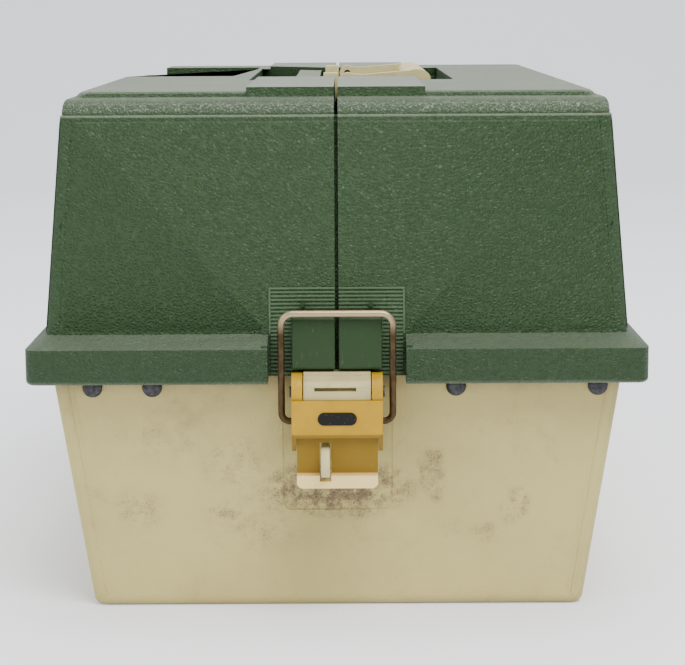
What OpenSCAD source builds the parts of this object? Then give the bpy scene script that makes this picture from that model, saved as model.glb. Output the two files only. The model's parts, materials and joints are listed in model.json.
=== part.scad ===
// Hip-roof fishing tackle box: a tapered tub, two lid halves that swing out on
// hinge rods along the long sides, six cantilever trays on parallel arms, a
// carry handle that folds into the lid, and a draw latch at each end.

/* [Lid] */
// Width of the lid over its flange
lid_w = 288.6; // [286:0.2:292]
// Length of the lid over its flange
lid_l = 457; // [450:1:480]
// Height of the flange band
flange_h = 16.6; // [14:0.2:18]
// Wall thickness of the lid
lid_t = 3; // [2.4:0.1:3.2]
// Gap between the two lid halves
seam = 1.7; // [1:0.1:2]

/* [Tub] */
// Half width of the tub at the hinge line
tub_half_w = 134; // [133:0.1:134]
// Wall thickness of the tub
tub_t = 3; // [2.4:0.1:3.4]
// Sideways draft of the tub walls for each millimetre of height
tub_draft = 0.136; // [0.1:0.001:0.14]

/* [Trays] */
// Height of a tray
tray_h = 22; // [18:1:22]
// Height from one tray to the next
tray_pitch = 24.5; // [24:0.5:25]
// Width of a tray
tray_w = 108; // [90:1:108]
// Length of a tray
tray_l = 393; // [360:1:393]
// Wall thickness of a tray
tray_t = 1.8; // [1.4:0.1:2.4]

/* [Linkage] */
// Width of a steel arm
arm_w = 10; // [8:0.5:11]
// Thickness of a steel arm
arm_t = 1.6; // [1.2:0.1:1.6]
// Lean of the arms with the lids closed, from the outward horizontal
arm_lean = 135; // [134:1:136]
// Shank radius of the pivot rivets
rivet_r = 2; // [1.8:0.1:2.2]

/* [Latch] */
// Width of the latch lever
lever_w = 42; // [40:1:43]
// Thickness of the wire bail
wire_d = 3.2; // [2.6:0.1:3.2]
// Height of the wire bail above its pivots
bail_h = 50.6; // [49:0.2:52]

/* [Handle] */
// Width of the carry handle's grip
grip_w = 14.4; // [12:0.2:15]
// Length of the carry handle
handle_l = 138; // [120:1:140]

/* [Hidden] */

$fn = 48;
EPS = 0.01;
GREEN = [0.29, 0.37, 0.28];
TAN = [0.74, 0.70, 0.55];
MUSTARD = [0.77, 0.65, 0.35];
STEEL = [0.55, 0.57, 0.60];
BRONZE = [0.50, 0.40, 0.26];
CREAM = [0.82, 0.78, 0.64];

// Levels above the ground
lid_z = 116;
band_z = lid_z + flange_h;
ledge_z = 136.3;
face_z = 237;
crown_z = 244.8;
roof_z = 248;
top_z = 249.8;
well_z = 236.5;
deck_z = 242;
rim_z = 121;
pivot_z = 110.5;
tray_z = 123;

// Lid outline at each level: half width and half length
flange = [lid_w / 2, lid_l / 2];
ledge = flange - [8.4, 10.6];
face = ledge - [8.2, 7.4];
crown = face - [2.4, 5.6];
roof = face - [9.6, 9];

// Tub outline at the hinge line
tub = [tub_half_w, lid_l / 2 - 14.6];

// Hinge line of a lid
hinge_x = 137.4;
hinge_z = 117;
knuckle_r = 3;
rod_r = 1.2;
fit = 0.06;
snug_r = rivet_r + 0.02;

// Centres of the arm pivots on the tub, from the middle
left_outer = 114.8;
left_inner = 86.8;
right_outer = 122.1;
right_control = 55.7;
link_offset = -12;
arm_y = 200.2;
link_y = 197.4;
tray_x = 4;

// Latch, at the front end
pin_y = -226;
pin_z = 110.5;
pin_r = 1.6;
bail_y = -228;
bail_z = 97;
panel_y = -235.9;

// Handle
handle_x = 6;
handle_z = 247;
grip_z = handle_z + 1.5;
handle_y = -58;

function reach(level) = (tray_z + tray_h / 2 + level * tray_pitch - pivot_z) / sin(arm_lean);
function swing(level) = reach(level) * cos(arm_lean);
function tray_floor(level) = tray_z + level * tray_pitch;
function pivot_level(level) = tray_floor(level) + tray_h / 2;

module rounded(half, r) {
  square(2 * (half - [r, 0]), center = true);
  square(2 * (half - [0, r]), center = true);
  for (sx = [-1, 1], sy = [-1, 1])
    translate([sx * (half[0] - r), sy * (half[1] - r)]) circle(r = r);
}

// Straight block with round corners between two levels
module block(half, r, z0, z1) {
  translate([0, 0, z0]) linear_extrude(z1 - z0) rounded(half, r);
}

// Tapered block with round corners, from one outline to another
module taper(low, r0, z0, high, r1, z1) {
  hull() {
    for (sx = [-1, 1], sy = [-1, 1]) {
      translate([sx * (low[0] - r0), sy * (low[1] - r0), z0]) cylinder(r = r0, h = EPS, $fn = 32);
      translate([sx * (high[0] - r1), sy * (high[1] - r1), z1 - EPS]) cylinder(r = r1, h = EPS, $fn = 32);
    }
  }
}

// A box given by its corners
module span(lo, hi) {
  translate(lo) cube(hi - lo);
}

// A cylinder along X, and one along Y
module rod_x(r, x0, x1, y, z) {
  translate([x0, y, z]) rotate([0, 90, 0]) cylinder(r = r, h = x1 - x0);
}
module rod_y(r, y0, y1, x, z) {
  translate([x, y0, z]) rotate([-90, 0, 0]) cylinder(r = r, h = y1 - y0);
}

module at_rear() {
  rotate([0, 0, 180]) children();
}
module both_ends() {
  children();
  at_rear() children();
}

// ---------- Lids ----------
WELL = [[-46.5, -64], [62, -64], [62, 140], [4, 90], [-4, 90], [-46.5, 128]];
DECK = [[-150, 0], [-58, 0], [-49.5, 120], [-49.5, 160], [-109, 160], [-109, 240], [-150, 240]];

flange_r = 5;
lid_r = 6;
module lid_skin() {
  step = [0.7, 0.7];
  block(flange, flange_r, lid_z, band_z);
  taper(flange, flange_r, band_z, ledge, lid_r, ledge_z);
  taper(ledge, lid_r, ledge_z, face, lid_r, face_z);
  taper(face - step, lid_r, face_z, crown, lid_r, crown_z);
  taper(crown, lid_r, crown_z, roof, lid_r, roof_z);
}

module lid_hollow() {
  wall = [lid_t, lid_t];
  inner_r = lid_r - 2;
  block(flange - wall, flange_r - 2, lid_z - 1, band_z - 1);
  taper(ledge - wall + [1, 1], inner_r, lid_z - 1, face - wall, inner_r, face_z);
  taper(face - wall - [1, 1], inner_r, face_z - EPS, roof - [2, 2], inner_r, roof_z - lid_t);
}

// Latch area at one end: the flange stops and the wall runs on down
notch_w = 32;
notch_y = -218.4;
module flange_notch() {
  span([-notch_w, -240, lid_z - 1], [notch_w, notch_y, ledge_z + 3]);
}
module notch_walls() {
  span([-notch_w - lid_t, notch_y, lid_z + 2.6], [notch_w + lid_t, notch_y + lid_t, ledge_z + 4]);
  for (s = [-1, 1])
    translate([s * (notch_w + lid_t / 2), 0, 0])
      span([-lid_t / 2, -228, lid_z], [lid_t / 2, notch_y + lid_t, band_z]);
}
RIB_PITCH = 1.8;
RIB_COUNT = 22;
module ribbed_panel() {
  ribs = [for (i = [0 : RIB_COUNT - 1], k = [0 : 1])
    [-0.5 * (1 - k) - 218.8 + 0.074 * max(0, i * RIB_PITCH - 17.7), lid_z + 3 + (i + 0.5 * k) * RIB_PITCH]];
  back = [[-214.5, lid_z + 3 + RIB_COUNT * RIB_PITCH], [-217, lid_z + 3]];
  translate([-notch_w, 0, 0]) rotate([90, 0, 90]) linear_extrude(2 * notch_w)
    polygon(concat(ribs, back));
}

// Block that the wire of the latch pulls down on
module catch_block(x0, x1) {
  profile = [[-216, 121.1], [-227.4, 121.1], [-228.3, 122.2], [-227.5, 143.9],
             [-226, 145.6], [-215, 145.6]];
  translate([x0, 0, 0]) rotate([90, 0, 90]) linear_extrude(x1 - x0) polygon(profile);
}

module lid_knuckles(s) {
  for (y = [-150, 0, 150]) {
    rod_y(knuckle_r, y - 10, y + 10, s * hinge_x, hinge_z);
    translate([s * (hinge_x + 2.4), y, hinge_z + 1.5]) cube([4.8, 20, 3], center = true);
  }
}
module knuckle_bores(s) {
  for (y = [-150, 0, 150]) rod_y(rod_r + fit, y - 11, y + 11, s * hinge_x, hinge_z);
}

// Floor and sides of a sunken area of the roof
module sunken(outline, floor_z, depth) {
  translate([0, 0, floor_z - 2.5]) linear_extrude(depth + 2.5) offset(delta = lid_t) polygon(outline);
}

// One half of the lid: s is -1 on the left and 1 on the right
module lid_half(s) {
  difference() {
    union() {
      difference() {
        lid_skin();
        lid_hollow();
        both_ends() flange_notch();
      }
      both_ends() {
        notch_walls();
        ribbed_panel();
        catch_block(-20.9, 20.9);
      }
      span([-41.5, -203.5, roof_z - 4], [41.5, -64, top_z]);
      span([-41.5, 70, roof_z - 2.9], [41.5, 201.5, top_z]);
      sunken(WELL, well_z, roof_z - well_z);
      if (s < 0) intersection() {
        sunken(DECK, deck_z, roof_z - deck_z);
        block(roof - [0.5, 1], 6, deck_z - 3, roof_z);
      }
      lid_knuckles(s);
    }
    translate([0, 0, well_z]) linear_extrude(20) polygon(WELL);
    if (s < 0) translate([0, 0, deck_z]) linear_extrude(20) polygon(DECK);
    knuckle_bores(s);
    if (s > 0) rod_y(snug_r, -68, 96, handle_x, handle_z);
    translate([s < 0 ? -seam / 2 : -200, -300, 0]) cube([200 + seam / 2, 600, 300]);
  }
}
// Lip on the left half that covers the gap between the halves at each end
module seam_lip() {
  wall = lid_t - lid_l / 2 + 10.6;
  foot = rim_z + 0.8;
  lip = [[wall + 0.5, foot], [wall + 0.5, ledge_z], [wall + 7.9, face_z],
         [wall + 9.3, face_z], [wall + 1.9, ledge_z], [wall + 1.9, foot]];
  root = [[wall - 1, foot], [wall - 1, ledge_z], [wall + 6.4, face_z],
          [wall + 9.3, face_z], [wall + 1.9, ledge_z], [wall + 1.9, foot]];
  for (k = [0, 1]) mirror([0, k, 0]) {
    translate([-5, 0, 0]) rotate([90, 0, 90]) linear_extrude(5 - seam / 2) polygon(root);
    translate([-5, 0, 0]) rotate([90, 0, 90]) linear_extrude(6.2) polygon(lip);
  }
}

module lid_left() {
  color(GREEN) {
    lid_half(-1);
    seam_lip();
    span([-22.5, -20, well_z - 1], [-9.5, 110, roof_z]);
  }
}
module lid_right() {
  color(GREEN) lid_half(1);
}

// ---------- Tub ----------
function tub_half(z) = tub - [tub_draft, tub_draft] * (hinge_z - z);

module tub_knuckles(s) {
  for (y = [-150, 0, 150], k = [-1, 1]) {
    rod_y(knuckle_r, y + k * 16 - 5, y + k * 16 + 5, s * hinge_x, hinge_z);
    span([s < 0 ? -hinge_x : tub_half_w - 2, y + k * 16 - 5, hinge_z - 1.5],
         [s < 0 ? 2 - tub_half_w : hinge_x, y + k * 16 + 5, hinge_z + 2.4]);
  }
}

boss_half = 15.5;
boss_r = 7.8;
// Hinge boss of the latch, with the slot in its face
module latch_boss() {
  difference() {
    union() {
      rod_x(boss_r, -boss_half, boss_half, pin_y, pin_z);
      span([-boss_half, pin_y, pin_z - boss_r], [boss_half, -211.5, 114.5]);
      span([-boss_half, pin_y - 1.3, pin_z], [boss_half, notch_y - 1.1, 119.9]);
    }
    span([-10.5, -240, 111.8], [8.8, pin_y - 3, 113.6]);
    rod_x(pin_r, -20, 20, pin_y, pin_z);
  }
}

tub_pivots = [-left_outer, -left_inner, right_control, right_outer];
module tub_rivet_holes() {
  for (x = tub_pivots, end = [-215, 215]) rod_y(snug_r, end - 15, end + 15, x, pivot_z);
}

// Notches that the outer arms lie in with the box wide open
module arm_notch(s, pivot) {
  low = pivot_z + tub_half_w - tub_t - pivot - arm_w * 0.71 - 0.6;
  for (y = [-arm_y - arm_t - 0.7, arm_y - 0.7])
    translate([s * tub_half_w - 8, y, low]) cube([16, arm_t + 1.4, 20]);
}

tub_r = 5;
module base_tub() {
  foot = 3;
  floor_t = 3;
  wall = [tub_t, tub_t];
  color(TAN) difference() {
    union() {
      taper(tub_half(0) - [foot, foot], tub_r, 0, tub_half(foot), tub_r, foot);
      taper(tub_half(foot), tub_r, foot - EPS, tub_half(rim_z), tub_r, rim_z);
      both_ends() latch_boss();
      for (s = [-1, 1]) tub_knuckles(s);
    }
    taper(tub_half(floor_t) - wall, tub_r - 2, floor_t, tub_half(rim_z + 1) - wall, tub_r - 2, rim_z + 1);
    for (s = [-1, 1]) rod_y(rod_r, -175, 175, s * hinge_x, hinge_z);
    tub_rivet_holes();
    arm_notch(-1, left_outer);
    arm_notch(1, right_outer);
    both_ends() staple_slot();
  }
}

// ---------- Hinge rods ----------
module hinge_rod(s) {
  color(STEEL) rod_y(rod_r, -174, 174, s * hinge_x, hinge_z);
}
module hinge_rod_left() {
  hinge_rod(-1);
}
module hinge_rod_right() {
  hinge_rod(1);
}

// ---------- Trays ----------
bays = 5;
bay_l = (tray_l - tray_t) / bays;
left_split = -56.4;
right_split = 68;

// Pivots of each tray, from the middle: x of the holes at the arm plane and at the link plane
function left_pivots(level) = [-left_outer - swing(level), -left_inner - swing(level)];
function right_main(level) = right_outer + swing(level);
link_x = right_main(0) + link_offset;
function right_second(level) =
  level == 0 ? right_control + swing(0) : link_x + swing(level) - swing(0);

function tray_x0(side) = side < 0 ? -tray_x - tray_w : tray_x;
function bay_y0(i) = -tray_l / 2 + tray_t + i * bay_l;

module tray(side, level, holes) {
  x0 = tray_x0(side);
  x1 = x0 + tray_w;
  z0 = tray_floor(level);
  color(TAN) difference() {
    span([x0, -tray_l / 2, z0], [x1, tray_l / 2, z0 + tray_h]);
    span([x0 + tray_t, tray_t - tray_l / 2, z0 + tray_t],
         [x1 - tray_t, tray_l / 2 - tray_t, z0 + tray_h + 1]);
    for (x = holes) rod_y(snug_r, -tray_l, tray_l, x, pivot_level(level));
  }
}

// Plates that divide a tray: across it, along every second bay, and across the others
module dividers(side, level) {
  x0 = tray_x0(side);
  split = side < 0 ? left_split : right_split;
  z0 = tray_floor(level) + tray_t;
  gap = 0.1;
  color(CREAM) {
    for (i = [1 : bays - 1])
      span([x0 + tray_t + gap, bay_y0(i) - tray_t, z0],
           [x0 + tray_w - tray_t - gap, bay_y0(i), z0 + tray_h - tray_t - 0.5]);
    for (i = [0 : 2 : bays - 1])
      span([split - tray_t / 2, bay_y0(i) + gap, z0],
           [split + tray_t / 2, bay_y0(i) + bay_l - tray_t - gap, z0 + tray_h - tray_t - 0.5]);
    for (i = [1 : 2 : bays - 1], k = [1, 2])
      translate([x0 + k * tray_w / 3, 0, 0])
        span([-0.7, bay_y0(i) + gap, z0],
             [0.7, bay_y0(i) + bay_l - tray_t - gap, z0 + tray_h - tray_t - 3]);
  }
}

module tray_left_lower() { tray(-1, 0, left_pivots(0)); }
module tray_left_middle() { tray(-1, 1, left_pivots(1)); }
module tray_left_upper() { tray(-1, 2, left_pivots(2)); }
module tray_right_lower() { tray(1, 0, [right_main(0), right_second(0), link_x]); }
module tray_right_middle() { tray(1, 1, [right_main(1), right_second(1)]); }
module tray_right_upper() { tray(1, 2, [right_main(2), right_second(2)]); }
module dividers_left_lower() { dividers(-1, 0); }
module dividers_left_middle() { dividers(-1, 1); }
module dividers_left_upper() { dividers(-1, 2); }
module dividers_right_lower() { dividers(1, 0); }
module dividers_right_middle() { dividers(1, 1); }
module dividers_right_upper() { dividers(1, 2); }

// ---------- Arms ----------
// A flat bar with round ends and a hole for each rivet, from a pivot, up at the given lean
module flat_arm(x, z, lean, holes, y0) {
  translate([x, y0 + arm_t, z]) rotate([90, 0, 0]) rotate([0, 0, lean])
    linear_extrude(arm_t) difference() {
      union() {
        translate([holes[0], -arm_w / 2]) square([holes[len(holes) - 1] - holes[0], arm_w]);
        for (h = [holes[0], holes[len(holes) - 1]]) translate([h, 0]) circle(r = arm_w / 2);
      }
      for (h = holes) translate([h, 0]) circle(r = rivet_r + fit);
    }
}
full = [0, reach(0), reach(1), reach(2)];
short = [0, reach(0)];
upper = [0, reach(1) - reach(0), reach(2) - reach(0)];
left_lean = 180 - arm_lean;

front_arm_y = -arm_y - arm_t;
front_link_y = -link_y - arm_t;
module arm(x, lean, holes, y0) {
  color(STEEL) flat_arm(x, pivot_z, lean, holes, y0);
}
module arm_left_outer_front() { arm(-left_outer, left_lean, full, front_arm_y); }
module arm_left_outer_rear() { arm(-left_outer, left_lean, full, arm_y); }
module arm_left_inner_front() { arm(-left_inner, left_lean, full, front_arm_y); }
module arm_left_inner_rear() { arm(-left_inner, left_lean, full, arm_y); }
module arm_right_outer_front() { arm(right_outer, arm_lean, full, front_arm_y); }
module arm_right_outer_rear() { arm(right_outer, arm_lean, full, arm_y); }
module arm_right_control_front() { arm(right_control, arm_lean, short, front_link_y); }
module arm_right_control_rear() { arm(right_control, arm_lean, short, link_y); }
module link_right(y0) {
  color(STEEL) flat_arm(link_x, pivot_level(0), arm_lean, upper, y0);
}
module link_right_front() { link_right(front_link_y); }
module link_right_rear() { link_right(link_y); }

// ---------- Rivets ----------
// Solid of revolution along Y at one end: pairs of radius and distance from the middle
module turned(x, z, profile, end) {
  translate([x, 0, z]) rotate([end < 0 ? 90 : -90, 0, 0]) rotate_extrude() polygon(profile);
}

// Domed head outside the tub, a collar inside it and a shank through the arm
dome_r = 4.7;
module tub_rivet(x, end, plane) {
  wall_out = tub_half(pivot_z)[1];
  wall_in = wall_out - tub_t;
  collar = plane + arm_t + 0.3;
  turned(x, pivot_z, concat(
    [[0, plane - 1.6], [3.4, plane - 1.6], [3.4, plane - 0.3], [rivet_r, plane - 0.3], [rivet_r, collar],
     [3.4, collar], [3.4, wall_in - 0.6], [rivet_r, wall_in - 0.6], [rivet_r, wall_out + 0.7],
     [dome_r, wall_out + 0.7], [dome_r * 0.97, wall_out + 1.2], [dome_r * 0.8, wall_out + 2],
     [dome_r * 0.5, wall_out + 2.5], [0, wall_out + 2.7]]), end);
}
module tub_rivets(end) {
  color(STEEL) {
    for (x = [-left_outer, -left_inner, right_outer]) tub_rivet(x, end, arm_y);
    tub_rivet(right_control, end, link_y);
  }
}
module rivets_tub_front() { tub_rivets(-1); }
module rivets_tub_rear() { tub_rivets(1); }

// Rivet that joins a tray to an arm or a link
module tray_rivet(x, level, end, plane) {
  wall_in = tray_l / 2 - tray_t;
  wall_out = tray_l / 2;
  head = plane + arm_t + 0.3;
  collar = plane - 0.3;
  turned(x, pivot_level(level),
    [[0, wall_in - 0.9], [3.2, wall_in - 0.9], [3.2, wall_in], [rivet_r, wall_in], [rivet_r, wall_out],
     [2.9, wall_out], [2.9, collar], [rivet_r, collar], [rivet_r, head], [3.3, head],
     [3.3, head + 0.7], [0, head + 0.9]], end);
}
module tray_rivets(level, at_arm, at_link) {
  color(STEEL) for (end = [-1, 1]) {
    for (x = at_arm) tray_rivet(x, level, end, arm_y);
    for (x = at_link) tray_rivet(x, level, end, link_y);
  }
}
module rivets_left_lower() { tray_rivets(0, left_pivots(0), []); }
module rivets_left_middle() { tray_rivets(1, left_pivots(1), []); }
module rivets_left_upper() { tray_rivets(2, left_pivots(2), []); }
module rivets_right_lower() { tray_rivets(0, [right_main(0)], [right_second(0), link_x]); }
module rivets_right_middle() { tray_rivets(1, [right_main(1)], [right_second(1)]); }
module rivets_right_upper() { tray_rivets(2, [right_main(2)], [right_second(2)]); }

// ---------- Latch ----------
lever_half = lever_w / 2;
ear_in = boss_half + 0.5;
panel_t = 1.8;
lip_z = 67;

module lever_side(x0, x1) {
  profile = [[panel_y, pin_z - 2.7], [panel_y, 92.3], [-232.9, 90], [-232.9, 72], [-230, 72],
             [-230, 80], [-222, 93], [-219, 101], [-219, pin_z - 2.7]];
  translate([x0, 0, 0]) rotate([90, 0, 90]) linear_extrude(x1 - x0) polygon(profile);
}
module latch_lever() {
  lip_half = 18.7;
  difference() {
    union() {
      for (s = [-1, 1]) {
        rod_x(9, min(s * ear_in, s * lever_half), max(s * ear_in, s * lever_half), pin_y, pin_z);
        lever_side(min(s * lever_half, s * (lever_half - 2)), max(s * lever_half, s * (lever_half - 2)));
      }
      span([-lever_half, panel_y, 92.3], [lever_half, panel_y + panel_t, pin_z - 2.7]);
      span([-lever_half + 1, panel_y, 91], [lever_half - 1, -230.9, 93]);
      span([-lip_half, -232.7, 71], [lip_half, -230.9, 92.3]);
      span([-lip_half, -236.5, lip_z], [lip_half, -230.9, 73]);
    }
    span([-8.2, -240, 70.2], [-2.8, -225, 87.8]);
    rod_x(pin_r + fit, -30, 30, pin_y, pin_z);
    rod_x(wire_d / 2 + fit, -30, 30, bail_y, bail_z);
  }
}
module latch_lever_front() { color(MUSTARD) latch_lever(); }
module latch_lever_rear() { color(MUSTARD) at_rear() latch_lever(); }

module latch_pin() {
  color(STEEL) translate([-22, pin_y, pin_z]) rotate([0, 90, 0]) rotate_extrude()
    polygon([[0, 0], [2.6, 0], [2.6, 0.7], [pin_r, 0.7], [pin_r, 43.3], [2.6, 43.3], [2.6, 44], [0, 44]]);
}
module latch_pin_front() { latch_pin(); }
module latch_pin_rear() { at_rear() latch_pin(); }

wire_half = 25.7;
bail_lean = atan(2.4 / bail_h);
module wire_corner(r, x, z, turn) {
  translate([x, 0, z]) rotate([90, 0, 0]) rotate([0, 0, turn])
    rotate_extrude(angle = 90) translate([r, 0]) circle(r = wire_d / 2);
}
module wire_bail() {
  low = 4;
  high = 5.5;
  color(BRONZE) translate([0, bail_y, bail_z]) rotate([bail_lean, 0, 0]) {
    for (s = [-1, 1]) {
      translate([s * wire_half, 0, low]) cylinder(r = wire_d / 2, h = bail_h - low - high);
      wire_corner(low, s * (wire_half - low), low, s < 0 ? 180 : 270);
      wire_corner(high, s * (wire_half - high), bail_h - high, s < 0 ? 90 : 0);
      rod_x(wire_d / 2, min(s * 17, s * (wire_half - low)), max(s * 17, s * (wire_half - low)), 0, 0);
    }
    rod_x(wire_d / 2, high - wire_half, wire_half - high, 0, bail_h);
  }
}
module wire_bail_front() { wire_bail(); }
module wire_bail_rear() { at_rear() wire_bail(); }

// Staple that passes through the lever for a padlock
staple_x = -5.5;
eye_y = -237.6;
eye_z = 79;
eye_r = 3.3;
staple_low = 68;
module staple_slot() {
  span([staple_x - 2.05, -220, 72.5], [staple_x + 2.05, -200, 85.5]);
}
module lock_staple() {
  wall_in = tub_t + 0.02 - tub_half(staple_low)[1];
  color(CREAM) difference() {
    union() {
      span([staple_x - 2, eye_y, 72.6], [staple_x + 2, wall_in, 85.4]);
      rod_x(6.4, staple_x - 2, staple_x + 2, eye_y, eye_z);
      span([staple_x - 5, wall_in, staple_low], [staple_x + 5, wall_in + 1.5, 90]);
    }
    rod_x(eye_r, staple_x - 3, staple_x + 3, eye_y, eye_z);
  }
}
module lock_staple_front() { lock_staple(); }
module lock_staple_rear() { at_rear() lock_staple(); }

// Plain oval badge on the lever's panel
module latch_badge() {
  color("black") translate([0, panel_y, 99.5]) rotate([90, 0, 0]) linear_extrude(0.35)
    union() {
      square([12, 6], center = true);
      for (s = [-1, 1]) translate([s * 6, 0]) circle(r = 3);
    }
}
module latch_badge_front() { latch_badge(); }
module latch_badge_rear() { at_rear() latch_badge(); }

// ---------- Handle ----------
grip_x = 43;
grip_r = 4.6;
hub_r = 4.5;
module carry_handle() {
  y1 = handle_y + handle_l;
  side = grip_w / 2 - grip_r;
  arm = [[handle_x, handle_z - 4], [grip_x, grip_z - 4.4], [grip_x, grip_z + 4.4],
         [handle_x + 8, handle_z + 3.4], [handle_x, handle_z + 4]];
  color(CREAM) difference() {
    union() {
      for (y = [handle_y, y1 - 9]) {
        rod_y(hub_r, y, y + 9, handle_x, handle_z);
        translate([0, y + 9, 0]) rotate([90, 0, 0]) linear_extrude(9) polygon(arm);
      }
      rod_y(grip_r, handle_y, y1, grip_x - side, grip_z);
      rod_y(grip_r, handle_y, y1, grip_x + side, grip_z);
      span([grip_x - side, handle_y, grip_z - grip_r], [grip_x + side, y1, grip_z + grip_r]);
    }
    rod_y(rivet_r + fit, -100, 130, handle_x, handle_z);
  }
}
module handle_pins() {
  y1 = handle_y + handle_l;
  color(STEEL) {
    rod_y(rivet_r, -67.5, handle_y + 8, handle_x, handle_z);
    rod_y(rivet_r, y1 - 8, 94, handle_x, handle_z);
  }
}
// Blocks on the left lid that the folded handle's hubs lie against
module handle_rest() {
  color(CREAM) for (y = [handle_y, handle_y + handle_l - 9]) {
    span([-7, y, well_z], [-1.2, y + 9, handle_z + 4.5]);
    span([-2, y, well_z + 1], [0.9, y + 9, handle_z + 4.5]);
  }
}

base_tub();
lid_left();
lid_right();
hinge_rod_left();
hinge_rod_right();
tray_left_lower();
tray_left_middle();
tray_left_upper();
tray_right_lower();
tray_right_middle();
tray_right_upper();
dividers_left_lower();
dividers_left_middle();
dividers_left_upper();
dividers_right_lower();
dividers_right_middle();
dividers_right_upper();
arm_left_outer_front();
arm_left_outer_rear();
arm_left_inner_front();
arm_left_inner_rear();
arm_right_outer_front();
arm_right_outer_rear();
arm_right_control_front();
arm_right_control_rear();
link_right_front();
link_right_rear();
rivets_tub_front();
rivets_tub_rear();
rivets_left_lower();
rivets_left_middle();
rivets_left_upper();
rivets_right_lower();
rivets_right_middle();
rivets_right_upper();
latch_lever_front();
latch_lever_rear();
latch_pin_front();
latch_pin_rear();
wire_bail_front();
wire_bail_rear();
lock_staple_front();
lock_staple_rear();
latch_badge_front();
latch_badge_rear();
carry_handle();
handle_pins();
handle_rest();
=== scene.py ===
"""Hip-roof fishing tackle box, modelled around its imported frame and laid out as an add-on."""

import json
import math

import bpy
from bpy.props import FloatProperty, FloatVectorProperty, IntProperty, PointerProperty
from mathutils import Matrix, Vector

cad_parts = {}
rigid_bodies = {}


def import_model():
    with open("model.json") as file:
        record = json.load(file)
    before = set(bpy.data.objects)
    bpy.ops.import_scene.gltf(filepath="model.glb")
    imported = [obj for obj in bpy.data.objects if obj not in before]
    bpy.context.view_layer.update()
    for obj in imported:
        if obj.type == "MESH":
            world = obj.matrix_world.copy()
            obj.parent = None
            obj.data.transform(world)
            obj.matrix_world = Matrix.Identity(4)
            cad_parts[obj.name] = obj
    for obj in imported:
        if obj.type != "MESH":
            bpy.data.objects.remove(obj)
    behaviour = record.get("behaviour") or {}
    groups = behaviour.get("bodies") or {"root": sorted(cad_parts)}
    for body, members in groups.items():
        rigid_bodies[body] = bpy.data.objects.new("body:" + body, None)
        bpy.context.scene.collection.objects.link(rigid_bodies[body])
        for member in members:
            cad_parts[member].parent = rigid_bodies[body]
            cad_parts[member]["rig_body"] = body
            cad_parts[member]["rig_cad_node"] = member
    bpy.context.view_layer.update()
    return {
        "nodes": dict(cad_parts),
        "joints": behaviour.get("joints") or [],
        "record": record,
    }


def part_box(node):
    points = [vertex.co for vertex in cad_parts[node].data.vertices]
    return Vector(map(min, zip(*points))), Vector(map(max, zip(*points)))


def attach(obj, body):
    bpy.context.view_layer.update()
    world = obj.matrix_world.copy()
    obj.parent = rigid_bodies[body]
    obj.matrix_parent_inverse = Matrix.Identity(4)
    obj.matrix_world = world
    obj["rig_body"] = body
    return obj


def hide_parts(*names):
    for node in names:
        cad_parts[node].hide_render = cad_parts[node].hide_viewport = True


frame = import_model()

bl_info = {
    "name": "Tackle Box",
    "version": (1, 0, 0),
    "blender": (4, 5, 0),
    "location": "View3D > Sidebar > Tackle Box",
    "description": "Builds a fishing tackle box with two lid halves, trays and draw latches",
    "category": "Add Mesh",
}

MM = 0.001
ENDS = (("front", -1), ("rear", 1))
SIDES = (("left", -1), ("right", 1))
LEVELS = ("lower", "middle", "upper")


# ---------------------------------------------------------------- sizes from the frame
def edge(node, corner, axis):
    """One coordinate of a CAD node's box: corner 0 is the lowest, 1 the highest."""
    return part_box(node)[corner][axis]


LID_HALF_W = edge("lid_right", 1, 0)
LID_HALF_L = edge("lid_right", 1, 1)
LID_Z = edge("lid_right", 0, 2)
TOP_Z = edge("lid_right", 1, 2)
RIM_Z = edge("base_tub", 1, 2)
HINGE_X = abs(frame["joints"][0]["pos_m"][0])
HINGE_Z = frame["joints"][0]["pos_m"][2]
JOINTS = {joint["name"]: joint for joint in frame["joints"]}
PIN_Y = JOINTS["latch_front_pivot"]["pos_m"][1]
PIN_Z = JOINTS["latch_front_pivot"]["pos_m"][2]


# ---------------------------------------------------------------- settings
def length(text, default, **more):
    return FloatProperty(name=text.capitalize(), description=text, default=default, unit="LENGTH", **more)


def colour(text, default):
    return FloatVectorProperty(name=text.capitalize(), description=text, default=default, size=3,
                               subtype="COLOR", min=0, max=1)


class LidSizes(bpy.types.PropertyGroup):
    wall: length("wall thickness of the lid", 3 * MM)
    band: length("height of the flange band", 16.6 * MM)
    ledge_z: length("height of the ledge above the ground", 136.3 * MM)
    face_z: length("height where the walls turn into the crown", 237 * MM)
    crown_z: length("height of the crown's outer edge", 244.8 * MM)
    roof_z: length("height of the flat roof", 248 * MM)
    well_z: length("height of the handle well's floor", 236.5 * MM)
    deck_z: length("height of the sunken deck on the left lid", 242 * MM)
    corner: length("plan radius of the corners", 5.5 * MM)
    soften: length("radius of the worked edges", 0.7 * MM)
    seam: length("gap between the two halves", 1.7 * MM)
    rib_pitch: length("spacing of the ribs above the latch", 1.8 * MM)
    rib_count: IntProperty(name="Rib count", description="ribs above the latch", default=22)


class TubSizes(bpy.types.PropertyGroup):
    wall: length("wall thickness of the tub", 3 * MM)
    draft: FloatProperty(name="Draft", description="sideways lean of the walls for each unit of height",
                         default=0.136)
    half_w: length("half width at the hinge line", 134 * MM)
    corner: length("plan radius of the corners", 5 * MM)
    foot: length("height of the rounded foot", 3 * MM)


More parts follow.
